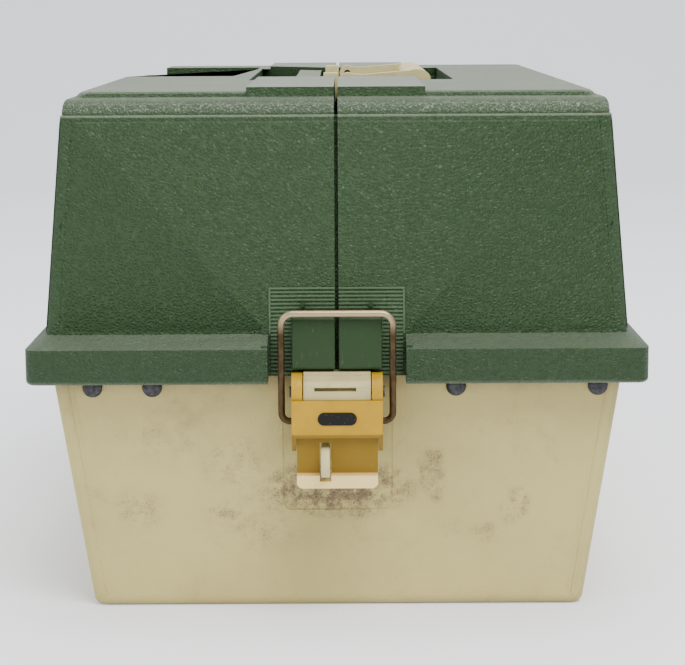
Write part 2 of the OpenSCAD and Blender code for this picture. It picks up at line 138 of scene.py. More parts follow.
class PartColours(bpy.types.PropertyGroup):
    lid: colour("green of the lid", (0.0165, 0.0390, 0.0112))
    # worn green, also used as painted highlight on the crown, the ledge and the roof
    lid_worn: colour("worn green on the roof and the edges", (0.245, 0.275, 0.215))
    tub: colour("tan of the tub", (0.515, 0.435, 0.172))
    dirt: colour("brown of the dirt", (0.10, 0.07, 0.04))
    lever: colour("mustard of the latch lever", (0.38, 0.222, 0.0070))
    ivory: colour("ivory of the handle and the staples", (0.60, 0.52, 0.25))
    wire: colour("bronze of the bail", (0.042, 0.027, 0.012))
    steel: colour("grey of the rivets", (0.044, 0.045, 0.047))


def sizes(group):
    return getattr(bpy.context.scene, group)


# ---------------------------------------------------------------- modelling helpers
def deselect():
    if bpy.context.mode != "OBJECT":
        bpy.ops.object.mode_set(mode="OBJECT")
    bpy.ops.object.select_all(action="DESELECT")


def work_on(piece):
    deselect()
    piece.select_set(True)
    bpy.context.view_layer.objects.active = piece


def place(name):
    """Names the primitive just added and moves its place into its mesh."""
    piece = bpy.context.object
    piece.name = piece.data.name = name
    bpy.ops.object.transform_apply(location=True, rotation=True, scale=True)
    return piece


def box(name, low, high):
    deselect()
    low, high = Vector(low), Vector(high)
    bpy.ops.mesh.primitive_cube_add(size=1, location=(low + high) / 2, scale=high - low)
    return place(name)


def rod(name, start, end, radius, sides=32):
    deselect()
    start, end = Vector(start), Vector(end)
    way = end - start
    bpy.ops.mesh.primitive_cylinder_add(vertices=sides, radius=radius, depth=way.length,
                                        location=(start + end) / 2,
                                        rotation=way.to_track_quat("Z", "Y").to_euler())
    return place(name)


def edit(piece, kind="FACE", test=None):
    """Enters edit mode with the faces, edges or corners that pass a test selected."""
    work_on(piece)
    mesh = piece.data
    for items in (mesh.vertices, mesh.edges, mesh.polygons):
        for item in items:
            item.select = test is None
    if test and kind == "FACE":
        for face in mesh.polygons:
            face.select = bool(test(face.center, face.normal))
    if test and kind == "EDGE":
        for line in mesh.edges:
            a, b = (mesh.vertices[i].co for i in line.vertices)
            line.select = bool(test(a, b))
            if line.select:
                for i in line.vertices:
                    mesh.vertices[i].select = True
    if test and kind == "VERT":
        for corner in mesh.vertices:
            corner.select = bool(test(corner.co))
    bpy.context.tool_settings.mesh_select_mode = (kind == "VERT", kind == "EDGE", kind == "FACE")
    bpy.ops.object.mode_set(mode="EDIT")


def leave():
    bpy.ops.object.mode_set(mode="OBJECT")


def tidy(piece):
    """Merges doubles and turns every face outwards."""
    edit(piece)
    bpy.ops.mesh.remove_doubles(threshold=0.00001)
    bpy.ops.mesh.normals_make_consistent(inside=False)
    leave()


def modify(piece, kind, **settings):
    work_on(piece)
    modifier = piece.modifiers.new(kind.title(), kind)
    for key, value in settings.items():
        setattr(modifier, key, value)
    bpy.ops.object.modifier_apply(modifier=modifier.name)
    return piece


def cut(piece, cutter, operation="DIFFERENCE"):
    modify(piece, "BOOLEAN", operation=operation, object=cutter, solver="EXACT")
    bpy.data.objects.remove(cutter)
    return piece


def soften(piece, width, segments=2, angle=35):
    return modify(piece, "BEVEL", width=width, segments=segments, limit_method="ANGLE",
                  angle_limit=math.radians(angle), use_clamp_overlap=True, miter_outer="MITER_ARC")


def smooth(piece, angle=40):
    work_on(piece)
    bpy.ops.object.shade_smooth_by_angle(angle=math.radians(angle))
    return piece


def join(name, pieces):
    deselect()
    for piece in pieces:
        piece.select_set(True)
    bpy.context.view_layer.objects.active = pieces[0]
    if len(pieces) > 1:
        bpy.ops.object.join()
    pieces[0].name = pieces[0].data.name = name
    return pieces[0]


def keep_half(piece, side, gap):
    """Cuts a piece at the seam between the lids and keeps one side, closed."""
    edit(piece)
    bpy.ops.mesh.bisect(plane_co=(side * gap / 2, 0, 0), plane_no=(side, 0, 0), use_fill=True,
                        clear_inner=True)
    leave()
    return piece


def frustum(name, levels, radius, segments=6):
    """A block with round corners whose outline changes from level to level: (height, half width, half length)."""
    deselect()
    z, half_w, half_l = levels[0]
    bpy.ops.mesh.primitive_plane_add(size=2, location=(0, 0, z))
    piece = bpy.context.object
    piece.scale = (half_w, half_l, 1)
    piece = place(name)
    edit(piece, "VERT")
    bpy.ops.mesh.bevel(offset=radius, segments=segments, affect="VERTICES")
    bpy.ops.mesh.select_all(action="SELECT")
    for next_z, next_w, next_l in levels[1:]:
        bpy.ops.mesh.extrude_region_move(TRANSFORM_OT_translate={"value": (0, 0, next_z - z)})
        bpy.ops.transform.resize(value=(next_w / half_w, next_l / half_l, 1), center_override=(0, 0, next_z))
        z, half_w, half_l = next_z, next_w, next_l
    leave()
    tidy(piece)
    return piece


def prism(name, outline, low, high):
    """An upright block on a plan outline."""
    deselect()
    bpy.ops.mesh.primitive_circle_add(vertices=len(outline), radius=1, fill_type="NGON")
    piece = bpy.context.object
    for corner, (x, y) in zip(piece.data.vertices, outline):
        corner.co = (x, y, low)
    piece = place(name)
    edit(piece)
    bpy.ops.mesh.extrude_region_move(TRANSFORM_OT_translate={"value": (0, 0, high - low)})
    leave()
    tidy(piece)
    return piece


def across(name, outline, low, high):
    """A block along X on an outline of (y, z) points."""
    piece = prism(name, outline, low, high)
    for corner in piece.data.vertices:
        x, y, z = corner.co
        corner.co = (z, x, y)
    tidy(piece)
    return piece


def turned_copy(piece, name):
    """A copy of a front piece, turned round to the rear end."""
    work_on(piece)
    bpy.ops.object.duplicate()
    copy = bpy.context.object
    copy.rotation_euler = (0, 0, math.pi)
    return place(name)


def widened(outline, margin):
    """A convex or slightly notched plan outline, moved outwards from its middle."""
    xs = [x for x, y in outline]
    ys = [y for x, y in outline]
    mid = ((min(xs) + max(xs)) / 2, (min(ys) + max(ys)) / 2)
    return [(x + math.copysign(margin, x - mid[0]), y + math.copysign(margin, y - mid[1]))
            for x, y in outline]


def finish_piece(piece, body, material, *nodes):
    piece.data.materials.clear()
    piece.data.materials.append(material)
    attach(piece, body)
    if nodes:
        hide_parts(*nodes)
    return piece


# ---------------------------------------------------------------- materials
class Value:
    """A node socket that takes part in Python arithmetic."""

    def __init__(self, tree, socket):
        self.tree, self.socket = tree, socket

    def math(self, operation, *values, clamp=False):
        node = self.tree.nodes.new("ShaderNodeMath")
        node.operation, node.use_clamp = operation, clamp
        for slot, value in zip(node.inputs, values):
            link(self.tree, value, slot)
        return Value(self.tree, node.outputs[0])

    def __add__(self, other):
        return self.math("ADD", self, other)

    def __sub__(self, other):
        return self.math("SUBTRACT", self, other)

    def __rsub__(self, other):
        return self.math("SUBTRACT", other, self)

    def __mul__(self, other):
        return self.math("MULTIPLY", self, other)

    def __truediv__(self, other):
        return self.math("DIVIDE", self, other)

    def __pow__(self, other):
        return self.math("POWER", self, other)

    def step(self, low, high):
        """0 below low, 1 above high and smooth between them; low may be the larger."""
        node = self.tree.nodes.new("ShaderNodeMapRange")
        node.interpolation_type = "SMOOTHSTEP"
        for key, value in (("Value", self), ("From Min", low), ("From Max", high)):
            link(self.tree, value, node.inputs[key])
        return Value(self.tree, node.outputs[0])

    def clamp(self):
        return self.math("ADD", self, 0.0, clamp=True)

    __radd__, __rmul__ = __add__, __mul__


def link(tree, value, slot):
    if isinstance(value, Value):
        tree.links.new(value.socket, slot)
    elif isinstance(value, (tuple, list)) or hasattr(value, "__len__"):
        slot.default_value = (*value, 1)[:len(slot.default_value)]
    else:
        slot.default_value = value


class Finish:
    """A material in the making."""

    def __init__(self, name, **constants):
        self.material = bpy.data.materials.new(name)
        self.material.use_nodes = True
        self.tree = self.material.node_tree
        self.shader = self.tree.nodes["Principled BSDF"]
        for key, value in constants.items():
            self.shader.inputs[key.replace("_", " ")].default_value = value
        self.place = self.node("ShaderNodeTexCoord", output="Object")

    def node(self, kind, settings=None, output=0, **inputs):
        node = self.tree.nodes.new(kind)
        for key, value in (settings or {}).items():
            setattr(node, key, value)
        for key, value in inputs.items():
            link(self.tree, value, node.inputs[key.replace("_", " ")])
        return Value(self.tree, node.outputs[output])

    def axis(self, name):
        return self.node("ShaderNodeSeparateXYZ", output=name, Vector=self.place)

    def noise(self, size, detail=2.0, roughness=0.5, at=None):
        return self.node("ShaderNodeTexNoise", output=0, Vector=at or self.place, Scale=1 / size,
                         Detail=detail, Roughness=roughness)

    def stretched(self, scale, turn=(0, 0, 0)):
        return self.node("ShaderNodeMapping", Vector=self.place, Scale=scale, Rotation=turn)

    def cells(self, size, at=None, feature="F1", smoothness=None):
        settings = {"feature": feature}
        more = {"Smoothness": smoothness} if smoothness is not None else {}
        return self.node("ShaderNodeTexVoronoi", settings, output=0, Vector=at or self.place,
                         Scale=1 / size, **more)

    def warped(self, size, amount):
        """The place, pushed about by noise, for shapes that aren't quite regular."""
        noise = self.node("ShaderNodeTexNoise", output=1, Vector=self.place, Scale=1 / size, Detail=2.0)
        shift = self.node("ShaderNodeVectorMath", {"operation": "SCALE"}, Vector=noise, Scale=amount)
        node = self.tree.nodes.new("ShaderNodeVectorMath")
        node.operation = "ADD"
        self.tree.links.new(self.place.socket, node.inputs[0])
        self.tree.links.new(shift.socket, node.inputs[1])
        return Value(self.tree, node.outputs[0])

    def mix(self, factor, a, b):
        node = self.tree.nodes.new("ShaderNodeMix")
        node.data_type = "RGBA"
        node.clamp_factor = True
        for slot, value in ((node.inputs[0], factor), (node.inputs[6], a), (node.inputs[7], b)):
            link(self.tree, value, slot)
        return Value(self.tree, node.outputs[2])

    def spot(self, x, z, size, stretch=1.0):
        """A soft round mark on the end wall: 1 at its middle, 0 outside it."""
        across = (self.axis("X") - x) / (size * stretch)
        up = (self.axis("Z") - z) / size
        return (across * across + up * up).step(1.0, 0.0)

    def surface(self, color=None, roughness=None, metallic=None, height=None, distance=0.0005, strength=1.0):
        for key, value in (("Base Color", color), ("Roughness", roughness), ("Metallic", metallic)):
            if value is not None:
                link(self.tree, value, self.shader.inputs[key])
        if height is not None:
            bump = self.node("ShaderNodeBump", Height=height, Distance=distance, Strength=strength)
            link(self.tree, bump, self.shader.inputs["Normal"])
        return self.material


def normal_up(finish):
    """1 where the surface looks up, 0 where it is upright."""
    normal = finish.node("ShaderNodeNewGeometry", output="True Normal")
    return finish.node("ShaderNodeSeparateXYZ", output="Z", Vector=normal)


def shade(color, factor):
    return tuple(factor * c for c in color)


def green_plastic():
    colours = sizes("box_colours")
    finish = Finish("green_pebbled_plastic", Specular_IOR_Level=0.28)
    warped = finish.warped(0.004, 0.0014)
    cells = finish.cells(0.0017, at=warped, feature="DISTANCE_TO_EDGE")
    pebbles = cells.step(0.0, 0.32)
    fine = finish.noise(0.0009, detail=3.0)
    lumps = finish.noise(0.005, detail=2.0)
    cloud = finish.noise(0.05, detail=4.0, roughness=0.6)
    up = normal_up(finish).step(0.45, 0.98)
    z = finish.axis("Z")
    speck = finish.noise(0.0021, detail=4.0, roughness=0.75).step(0.62, 0.74)
    color = finish.mix(pebbles * 0.6, shade(colours.lid, 1.35), shade(colours.lid, 0.82))
    color = finish.mix(cloud.step(0.35, 0.7) * 0.3, color, shade(colours.lid, 1.2))
    band = z.step(LID_Z + 0.0175, LID_Z + 0.0150)
    color = finish.mix(band * 0.35, color, shade(colours.lid, 0.72))
    color = finish.mix(speck * 0.22, color, colours.lid_worn)
    lower_edge = (z - LID_Z - 0.0010 + (cloud - 0.5) * 0.002).step(0.0012, -0.0006)
    color = finish.mix(lower_edge * (0.25 + speck * 0.75), color, colours.lid_worn)
    # Painted highlight along the rounded crown, with small painted glints
    crown_highlight = z.step(0.2372, 0.2400) * z.step(0.2443, 0.2420)
    glints = fine.step(0.50, 0.62) * pebbles.step(0.9, 0.3)
    color = finish.mix(crown_highlight * (0.12 + glints * 0.50), color, colours.lid_worn)
    # Painted highlight: a thin bright line at the step below the crown
    step_highlight = z.step(0.2360, 0.2367) * z.step(0.2376, 0.2371)
    color = finish.mix(step_highlight * (0.45 + speck * 0.4), color, colours.lid_worn)
    high = z.step(0.2430, 0.2470)
    # Painted light: the up-facing ledge is lightened towards the worn green
    ledge_highlight = up * 0.27
    # Dust with painted sheen on the up-facing roof, lighter still on the pads
    pad = z.step(0.2484, 0.2492)
    roof_dust_and_sheen = up * high * (0.32 + pad * 0.30 + cloud * 0.33)
    color = finish.mix(ledge_highlight, color, colours.lid_worn)
    color = finish.mix(roof_dust_and_sheen.clamp(), color, colours.lid_worn)
    roughness = 0.36 + fine * 0.14 + up * 0.14 - pebbles * 0.04
    return finish.surface(color, roughness.clamp(), height=pebbles * -0.8 + fine * 0.2 + lumps * 0.6,
                          distance=0.00042)


def smooth_green_plastic(name="green_smooth_plastic", bright=1.15, worn=0.3, faded=0.0):
    """The unpebbled green of the catch blocks and the ribs."""
    colours = sizes("box_colours")
    finish = Finish(name, Specular_IOR_Level=0.22)
    cloud = finish.noise(0.02, detail=4.0)
    scuff = finish.noise(0.0015, detail=4.0, roughness=0.7,
                         at=finish.stretched((1.0, 1.0, 0.25))).step(0.60, 0.78)
    base = tuple(a + (b - a) * faded for a, b in zip(shade(colours.lid, bright), colours.lid_worn))
    color = finish.mix(cloud * 0.5, shade(base, 0.85), shade(base, 1.12))
    color = finish.mix(scuff * worn, color, colours.lid_worn)
    return finish.surface(color, (0.38 + cloud * 0.15).clamp(), height=finish.noise(0.001, 3.0),
                          distance=0.00005)


# Dirt on the end wall, and painted shadow with dirt just below the latch lever: across, up, size, stretch and strength
# of each mark
MARKS = ((0.0445, 0.0690, 0.0090, 0.55, 0.9), (0.0470, 0.0600, 0.0060, 0.5, 0.6), (0.0860, 0.0520, 0.0070, 0.6, 0.7),
         (0.0840, 0.0470, 0.0050, 1.2, 0.6), (0.0700, 0.0370, 0.0040, 1.3, 0.5), (-0.0480, 0.0720, 0.0110, 1.2, 0.45),
         (-0.0530, 0.0480, 0.0040, 1.7, 0.7), (-0.0400, 0.0430, 0.0120, 1.6, 0.35), (-0.0950, 0.0500, 0.0080, 1.3, 0.45),
         (0.0, 0.0600, 0.0100, 2.5, 2.2), (0.0030, 0.0530, 0.0070, 2.4, 1.0), (-0.0800, 0.0850, 0.0120, 1.4, 0.3))


def tan_plastic():
    colours = sizes("box_colours")
    finish = Finish("tan_tub_plastic", Specular_IOR_Level=0.25)
    z, y = finish.axis("Z"), finish.axis("Y")
    grain = finish.cells(0.0013, at=finish.warped(0.003, 0.0008), feature="DISTANCE_TO_EDGE").step(0.0, 0.25)
    fine = finish.noise(0.0007, detail=3.0)
    cloud = finish.noise(0.06, detail=5.0, roughness=0.62)
    grime = finish.noise(0.022, detail=7.0, roughness=0.75)
    color = finish.mix(cloud.step(0.38, 0.66), colours.tub, shade(colours.tub, 0.90))
    high = (z + (cloud - 0.5) * 0.05).step(0.055, 0.115)
    color = finish.mix(high * 0.48, color, shade(colours.tub, 0.74))
    color = finish.mix(grime.step(0.54, 0.74) * 0.36, color, shade(colours.tub, 0.62))
    powder = finish.noise(0.0009, detail=6.0, roughness=0.85)
    broken = finish.noise(0.0075, detail=7.0, roughness=0.78)
    front = y.step(-0.19, -0.20)
    # Dirt marks; those just below the latch lever are painted shadow mixed with dirt
    dirt = grime.step(0.52, 0.80) * 0.35
    for x, height, size, stretch, strength in MARKS:
        dirt = dirt.math("MAXIMUM", dirt, finish.spot(x, height, size * 1.7, stretch) * front * strength)
    smears_and_latch_shadow = dirt * broken.step(0.36, 0.66)
    color = finish.mix(smears_and_latch_shadow * 0.62, color, shade(colours.dirt, 1.7))
    specks = powder.step(0.53, 0.60) * smears_and_latch_shadow.step(0.08, 0.40)
    color = finish.mix(specks * 0.85, color, shade(colours.dirt, 0.6))
    loose = finish.noise(0.0014, detail=4.0, roughness=0.8).step(0.725, 0.76)
    color = finish.mix(loose * 0.6, color, colours.dirt)
    # Painted shade with dirt: a darker band just under the lid's lip
    under_rim_shade_and_dirt = (z + (grime - 0.5) * 0.012 - 0.1105).step(-0.005, 0.004)
    color = finish.mix(under_rim_shade_and_dirt * 0.40, color, shade(colours.dirt, 1.5))
    # Painted contact shadow: the foot of the tub is darkened towards the bottom
    low = z.step(0.005, 0.0)
    color = finish.mix(low * 0.35, color, shade(colours.dirt, 1.3))
    scratch = finish.noise(0.02, detail=3.0, at=finish.stretched((26.0, 1.0, 0.9), (0, 0.25, 0)))
    lines = scratch.step(0.735, 0.76)
    color = finish.mix(lines * 0.15, color, shade(colours.tub, 1.25))
    roughness = 0.48 + grime * 0.22 + fine * 0.08
    return finish.surface(color, roughness.clamp(), height=grain * 0.6 + fine * 0.3 + lines * -0.6,
                          distance=0.00012)


def mustard_plastic():
    colours = sizes("box_colours")
    finish = Finish("mustard_latch_plastic", Specular_IOR_Level=0.25)
    cloud = finish.noise(0.012, detail=4.0, roughness=0.6)
    color = finish.mix(cloud.step(0.35, 0.7), colours.lever, shade(colours.lever, 1.15))
    wear = finish.noise(0.0022, detail=6.0, roughness=0.75)
    z = finish.axis("Z")
    # Painted shade: the sunken panel of the lever is darkened
    sunken = z.step(0.0925, 0.0915) * z.step(0.0725, 0.0740)
    color = finish.mix(sunken * 0.9, color, shade(colours.lever, 0.48))
    # Painted highlight: the pull lip at the bottom of the lever is lightened
    lip = z.step(0.0740, 0.0725)
    color = finish.mix(lip * 0.8, color, (0.95, 0.72, 0.32))
    color = finish.mix(wear.step(0.64, 0.74) * 0.5, color, (0.16, 0.09, 0.02))
    color = finish.mix(finish.noise(0.005, 5.0, 0.7).step(0.62, 0.75) * 0.25, color, (0.66, 0.50, 0.20))
    return finish.surface(color, (0.34 + wear * 0.25).clamp(), height=wear, distance=0.00006)


def ivory_plastic(name="ivory_plastic", tone=1.0):
    colours = sizes("box_colours")
    finish = Finish(name, Specular_IOR_Level=0.25)
    cloud = finish.noise(0.01, detail=4.0, roughness=0.6)
    base = shade(colours.ivory, tone)
    color = finish.mix(cloud.step(0.3, 0.7), base, shade(base, 0.85))
    dirt = finish.noise(0.003, detail=6.0, roughness=0.75).step(0.60, 0.74)
    color = finish.mix(dirt * 0.5, color, shade(base, 0.35))
    return finish.surface(color, (0.40 + cloud * 0.2).clamp(), height=dirt * -1.0, distance=0.00004)


def bronze_wire():
    colours = sizes("box_colours")
    finish = Finish("bronze_wire", Metallic=0.85)
    patina = finish.noise(0.004, detail=5.0, roughness=0.7)
    color = finish.mix(patina.step(0.4, 0.65), shade(colours.wire, 1.7), colours.wire)
    # The top of the bail is lighter: wear from fingers, with painted highlight
    worn_and_highlit_top = finish.axis("Z").step(0.1370, 0.1475)
    color = finish.mix(worn_and_highlit_top * 0.7, color, (0.55, 0.43, 0.26))
    return finish.surface(color, (0.28 + patina * 0.25).clamp(), height=patina, distance=0.00004)


def steel(name="zinc_steel", tone=1.0):
    colours = sizes("box_colours")
    finish = Finish(name, Metallic=0.75)
    patina = finish.noise(0.0025, detail=5.0, roughness=0.7)
    base = shade(colours.steel, tone)
    color = finish.mix(patina.step(0.35, 0.65), shade(base, 1.5), shade(base, 0.6))
    return finish.surface(color, (0.36 + patina * 0.3).clamp(), height=patina, distance=0.00005)


def black_print():
    finish = Finish("black_print", Specular_IOR_Level=0.1)
    wear = finish.noise(0.0012, detail=5.0, roughness=0.7)
    color = finish.mix(wear.step(0.60, 0.72) * 0.7, (0.012, 0.012, 0.011), (0.30, 0.22, 0.08))
    return finish.surface(color, (0.35 + wear * 0.2).clamp())


def studio_paint(name, color):
    finish = Finish(name, Specular_IOR_Level=0.15, Emission_Strength=0.21, Emission_Color=(0.93, 0.96, 1.0, 1))
    faint = finish.noise(0.4, detail=2.0)
    return finish.surface(finish.mix(faint, color, shade(color, 0.97)), 0.75)


MAKERS = {
    "green": green_plastic, "smooth_green": smooth_green_plastic, "tan": tan_plastic,
    "mustard": mustard_plastic, "ivory": ivory_plastic, "wire": bronze_wire, "steel": steel,
    "print": black_print,
    # the ribs are lightened: wear, with painted highlight on their edges
    "ribs": lambda: smooth_green_plastic("green_rib_plastic_worn_and_highlit", 2.2, 0.9, 0.16),
    "boss": lambda: ivory_plastic("boss_plastic", 0.86),
    "tray": lambda: ivory_plastic("tray_plastic", 0.8),
    "bright_steel": lambda: steel("arm_steel", 2.4),
}


def material(key):
    made = bpy.context.scene.get("box_" + key)
    if made is None:
        made = MAKERS[key]()
        bpy.context.scene["box_" + key] = made
    return made


# ---------------------------------------------------------------- lid
WELL = [(-46.5, -64), (62, -64), (62, 140), (4, 90), (-4, 90), (-46.5, 128)]
DECK = [(-150, 0), (-58, 0), (-49.5, 120), (-49.5, 160), (-109, 160), (-109, 240), (-150, 240)]


def in_metres(outline):
    return [(x * MM, y * MM) for x, y in outline]


# Steps of the crown above the wall: rise, and how far its sides and its ends stand back
CROWN = ((0.3, 0.7, 0.7), (2.5, 0.8, 1.1), (4.8, 1.1, 2.2), (6.4, 1.7, 3.6), (7.4, 2.5, 5.0), (7.8, 3.6, 6.2))
ROOF = ((8.3, 6.4, 6.9), (9.9, 8.0, 7.6), (10.7, 9.0, 8.3), (11.0, 9.9, 9.3))


def lid_levels(lid, inset=0.0):
    """Outline of the lid at the levels where its walls turn, or of its hollow when inset by the wall."""
    low = (LID_HALF_W, LID_HALF_L)
    ledge = (low[0] - 8.4 * MM, low[1] - 10.6 * MM)
    face = (ledge[0] - 8.2 * MM, ledge[1] - 7.4 * MM)
    return [(z, w - inset, l - inset) for z, (w, l) in (
        (LID_Z, low), (LID_Z + lid.band, low), (lid.ledge_z, ledge), (lid.face_z, face))]


def lid_skin(lid):
    """The closed outer form of both halves, with the raised panel of each wall."""
    levels = lid_levels(lid)
    face_z, face_w, face_l = levels[3]
    levels += [(face_z + rise * MM, face_w - side * MM, face_l - end * MM) for rise, side, end in CROWN + ROOF]
    skin = frustum("lid_skin", levels, lid.corner)
    wall_low, wall_high = levels[2][0], levels[3][0]
    edit(skin, "FACE", lambda c, n: wall_low < c.z < wall_high and max(abs(n.x), abs(n.y)) > 0.98)
    bpy.ops.mesh.inset(thickness=2.5 * MM, depth=0, use_individual=True)
    bpy.ops.mesh.inset(thickness=0.8 * MM, depth=0.55 * MM, use_individual=True)
    leave()
    edit(skin, "EDGE", lambda a, b: is_band_corner(a, b))
    bpy.ops.mesh.bevel(offset=2.2 * MM, segments=4, affect="EDGES")
    leave()
    return skin


def is_band_corner(a, b):
    """The lower outside edge of the flange."""
    return abs(a.z - LID_Z) < 1e-5 and abs(b.z - LID_Z) < 1e-5


def lid_hollow(lid):
    levels = lid_levels(lid, lid.wall)
    base = [(LID_Z - 0.004, *levels[0][1:]), (levels[1][0] - 0.001, *levels[1][1:]),
            (levels[1][0] - 0.0009, levels[2][1], levels[2][2]),
            (levels[3][0], *levels[3][1:]), (lid.roof_z - lid.wall, levels[3][1] - 0.0044, levels[3][2] - 0.0076)]
    return frustum("lid_hollow", base, 4 * MM)


def seam_lips(half):
    """The lip of the left half that covers the seam at each end."""
    lid = sizes("box_lid")
    levels = lid_levels(lid, lid.wall)
    low, high = levels[2][2], levels[3][2]
    for end in (-1, 1):
        def plate(outer, low_x, high_x):
            foot = RIM_Z + 0.0008
            points = ((low - outer, foot), (low - outer, lid.ledge_z), (high - outer, lid.face_z),
                      (high - 0.0019, lid.face_z), (low - 0.0019, lid.ledge_z), (low - 0.0019, foot))
            return across("lip", [(end * y, z) for y, z in points], low_x, high_x)

        lip = plate(0.0005, -0.005, 0.0012)
        cut(lip, plate(-0.0010, -0.005, -lid.seam / 2), "UNION")
        cut(half, lip, "UNION")


def wall_y(z):
    """Distance of the lid's end wall from the middle, at a height above the notch."""
    lid = sizes("box_lid")
    levels = lid_levels(lid)
    share = max(0.0, (z - lid.ledge_z) / (lid.face_z - lid.ledge_z))
    return levels[2][2] + 0.0005 - share * (levels[2][2] - levels[3][2])


NOTCH = 32 * MM
NOTCH_Y = 218.4 * MM


def lid_half(side_name, side):
    lid = sizes("box_lid")
    half = lid_skin(lid)
    cut(half, lid_hollow(lid))
    for end in (-1, 1):
        far = sorted((end * NOTCH_Y, end * 0.24))
        cut(half, box("notch", (-NOTCH, far[0], LID_Z - 0.002), (NOTCH, far[1], lid.ledge_z + 0.0001)))
        near = sorted((end * NOTCH_Y, end * (NOTCH_Y - lid.wall)))
        plate = box("notch_plate", (-NOTCH - lid.wall, near[0], LID_Z + 0.0026),
                    (NOTCH + lid.wall, near[1], lid.ledge_z + 0.004))
        cut(half, plate, "UNION")
        for s in (-1, 1):
            xs = sorted((s * NOTCH, s * (NOTCH + lid.wall)))
            ys = sorted((end * 0.2275, end * (NOTCH_Y - lid.wall)))
            cut(half, box("cheek", (xs[0], ys[0], LID_Z + 0.0003), (xs[1], ys[1], lid.ledge_z - 0.004)), "UNION")
    keep_half(half, side, lid.seam)
    if side < 0:
        seam_lips(half)
    well = in_metres(WELL)
    pocket = prism("pocket", widened(well, lid.wall), lid.well_z - 0.0025, lid.roof_z - 0.0001)
    keep_half(pocket, side, lid.seam)
    cut(half, pocket, "UNION")
    if side < 0:
        floor = prism("floor", [(-0.1225, -0.003), (-0.055, -0.003), (-0.0465, 0.12), (-0.0465, 0.163),
                                (-0.106, 0.163), (-0.106, 0.2065), (-0.1225, 0.2065)],
                      lid.deck_z - 0.0025, lid.deck_z + 0.0035)
        cut(half, floor, "UNION")
    for low, high, depth in ((-0.2035, -0.064, 0.004), (0.07, 0.2015, 0.0029)):
        pad = box("pad", (-0.0415, low, lid.roof_z - depth), (0.0415, high, TOP_Z))
        keep_half(pad, side, lid.seam)
        cut(half, pad, "UNION")
    cut(half, prism("well", well, lid.well_z, TOP_Z + 0.01))
    if side < 0:
        cut(half, prism("deck", in_metres(DECK), lid.deck_z, TOP_Z + 0.01))
        cut(half, box("ridge", (-0.0225, -0.020, lid.well_z - 0.001), (-0.0095, 0.110, lid.roof_z)), "UNION")
    tidy(half)
    soften(half, lid.soften)
    knuckles = []
    for y in (-0.15, 0, 0.15):
        knuckle = rod("knuckle", (side * HINGE_X, y - 0.01, HINGE_Z), (side * HINGE_X, y + 0.01, HINGE_Z), 0.003)
        web = box("web", (side * (HINGE_X + 0.0024) - 0.0024, y - 0.01, HINGE_Z),
                  (side * (HINGE_X + 0.0024) + 0.0024, y + 0.01, HINGE_Z + 0.003))
        cut(knuckle, web, "UNION")
        cut(knuckle, rod("bore", (side * HINGE_X, y - 0.011, HINGE_Z), (side * HINGE_X, y + 0.011, HINGE_Z), 0.00126))
        soften(knuckle, 0.0003)
        knuckles.append(knuckle)
    half = join(f"lid_{side_name}_shell", [half, *knuckles])
    smooth(half)
    finish_piece(half, f"lid_{side_name}", material("green"), f"lid_{side_name}")


def rib_panel(side_name, side):
    """Fine ribs on the wall above the latch, at both ends, inside a thin frame."""
    lid = sizes("box_lid")
    low, high = LID_Z + 0.0035, LID_Z + 0.0035 + lid.rib_count * lid.rib_pitch
    ribs = []
    for end in (-1, 1):
        def bar(x0, x1, z0, z1, stand):
            points = ((wall_y(z0) - 0.0010, z0), (wall_y(z0) + stand, z0), (wall_y(z1) + stand, z1),
                      (wall_y(z1) - 0.0010, z1))
            piece = across("rib", [(end * y, z) for y, z in points], *sorted((side * x0, side * x1)))
            return soften(piece, 0.0002)

        inner, outer = lid.seam / 2, NOTCH - 0.0004
        for i in range(lid.rib_count):
            z = low + i * lid.rib_pitch
            ribs.append(bar(inner, outer - 0.0008, z, z + 0.0009, 0.0005))
        ribs.append(bar(inner, outer, high, high + 0.0009, 0.0007))
        ribs.append(bar(outer - 0.0009, outer, low + 0.019, high, 0.0007))
    panel = smooth(join(f"rib_panel_{side_name}", ribs))
    finish_piece(panel, f"lid_{side_name}", material("ribs"))


def catch_blocks(side_name, side):
    """The blocks that the wire bears on, and the two small stops above them."""
    lid = sizes("box_lid")
    parts = []
    for end in (-1, 1):
        y = abs(PIN_Y)
        outline = [(0.2155, 0.1211), (y + 0.0014, 0.1211), (y + 0.0023, 0.1222), (y + 0.0020, 0.1380),
                   (y + 0.0015, 0.1440), (y, 0.1456), (0.2150, 0.1456)]
        xs = sorted((side * lid.seam / 2, side * 0.0209))
        block = across("catch", [(end * a, b) for a, b in outline], *xs)
        soften(block, 0.0008, 3, 20)
        stop = rod("stop", (side * 0.0158, end * 0.216, 0.1498), (side * 0.0158, end * 0.2200, 0.1498), 0.0013, 24)
        soften(stop, 0.0005, 3)
        parts += [block, stop]
    blocks = smooth(join(f"catch_blocks_{side_name}", parts), 50)
    finish_piece(blocks, f"lid_{side_name}", material("smooth_green"))


# ---------------------------------------------------------------- tub
def tub_half(z):
    tub = sizes("box_tub")
    rise = tub.draft * (HINGE_Z - z)
    return tub.half_w - rise, LID_HALF_L - 0.0146 - rise


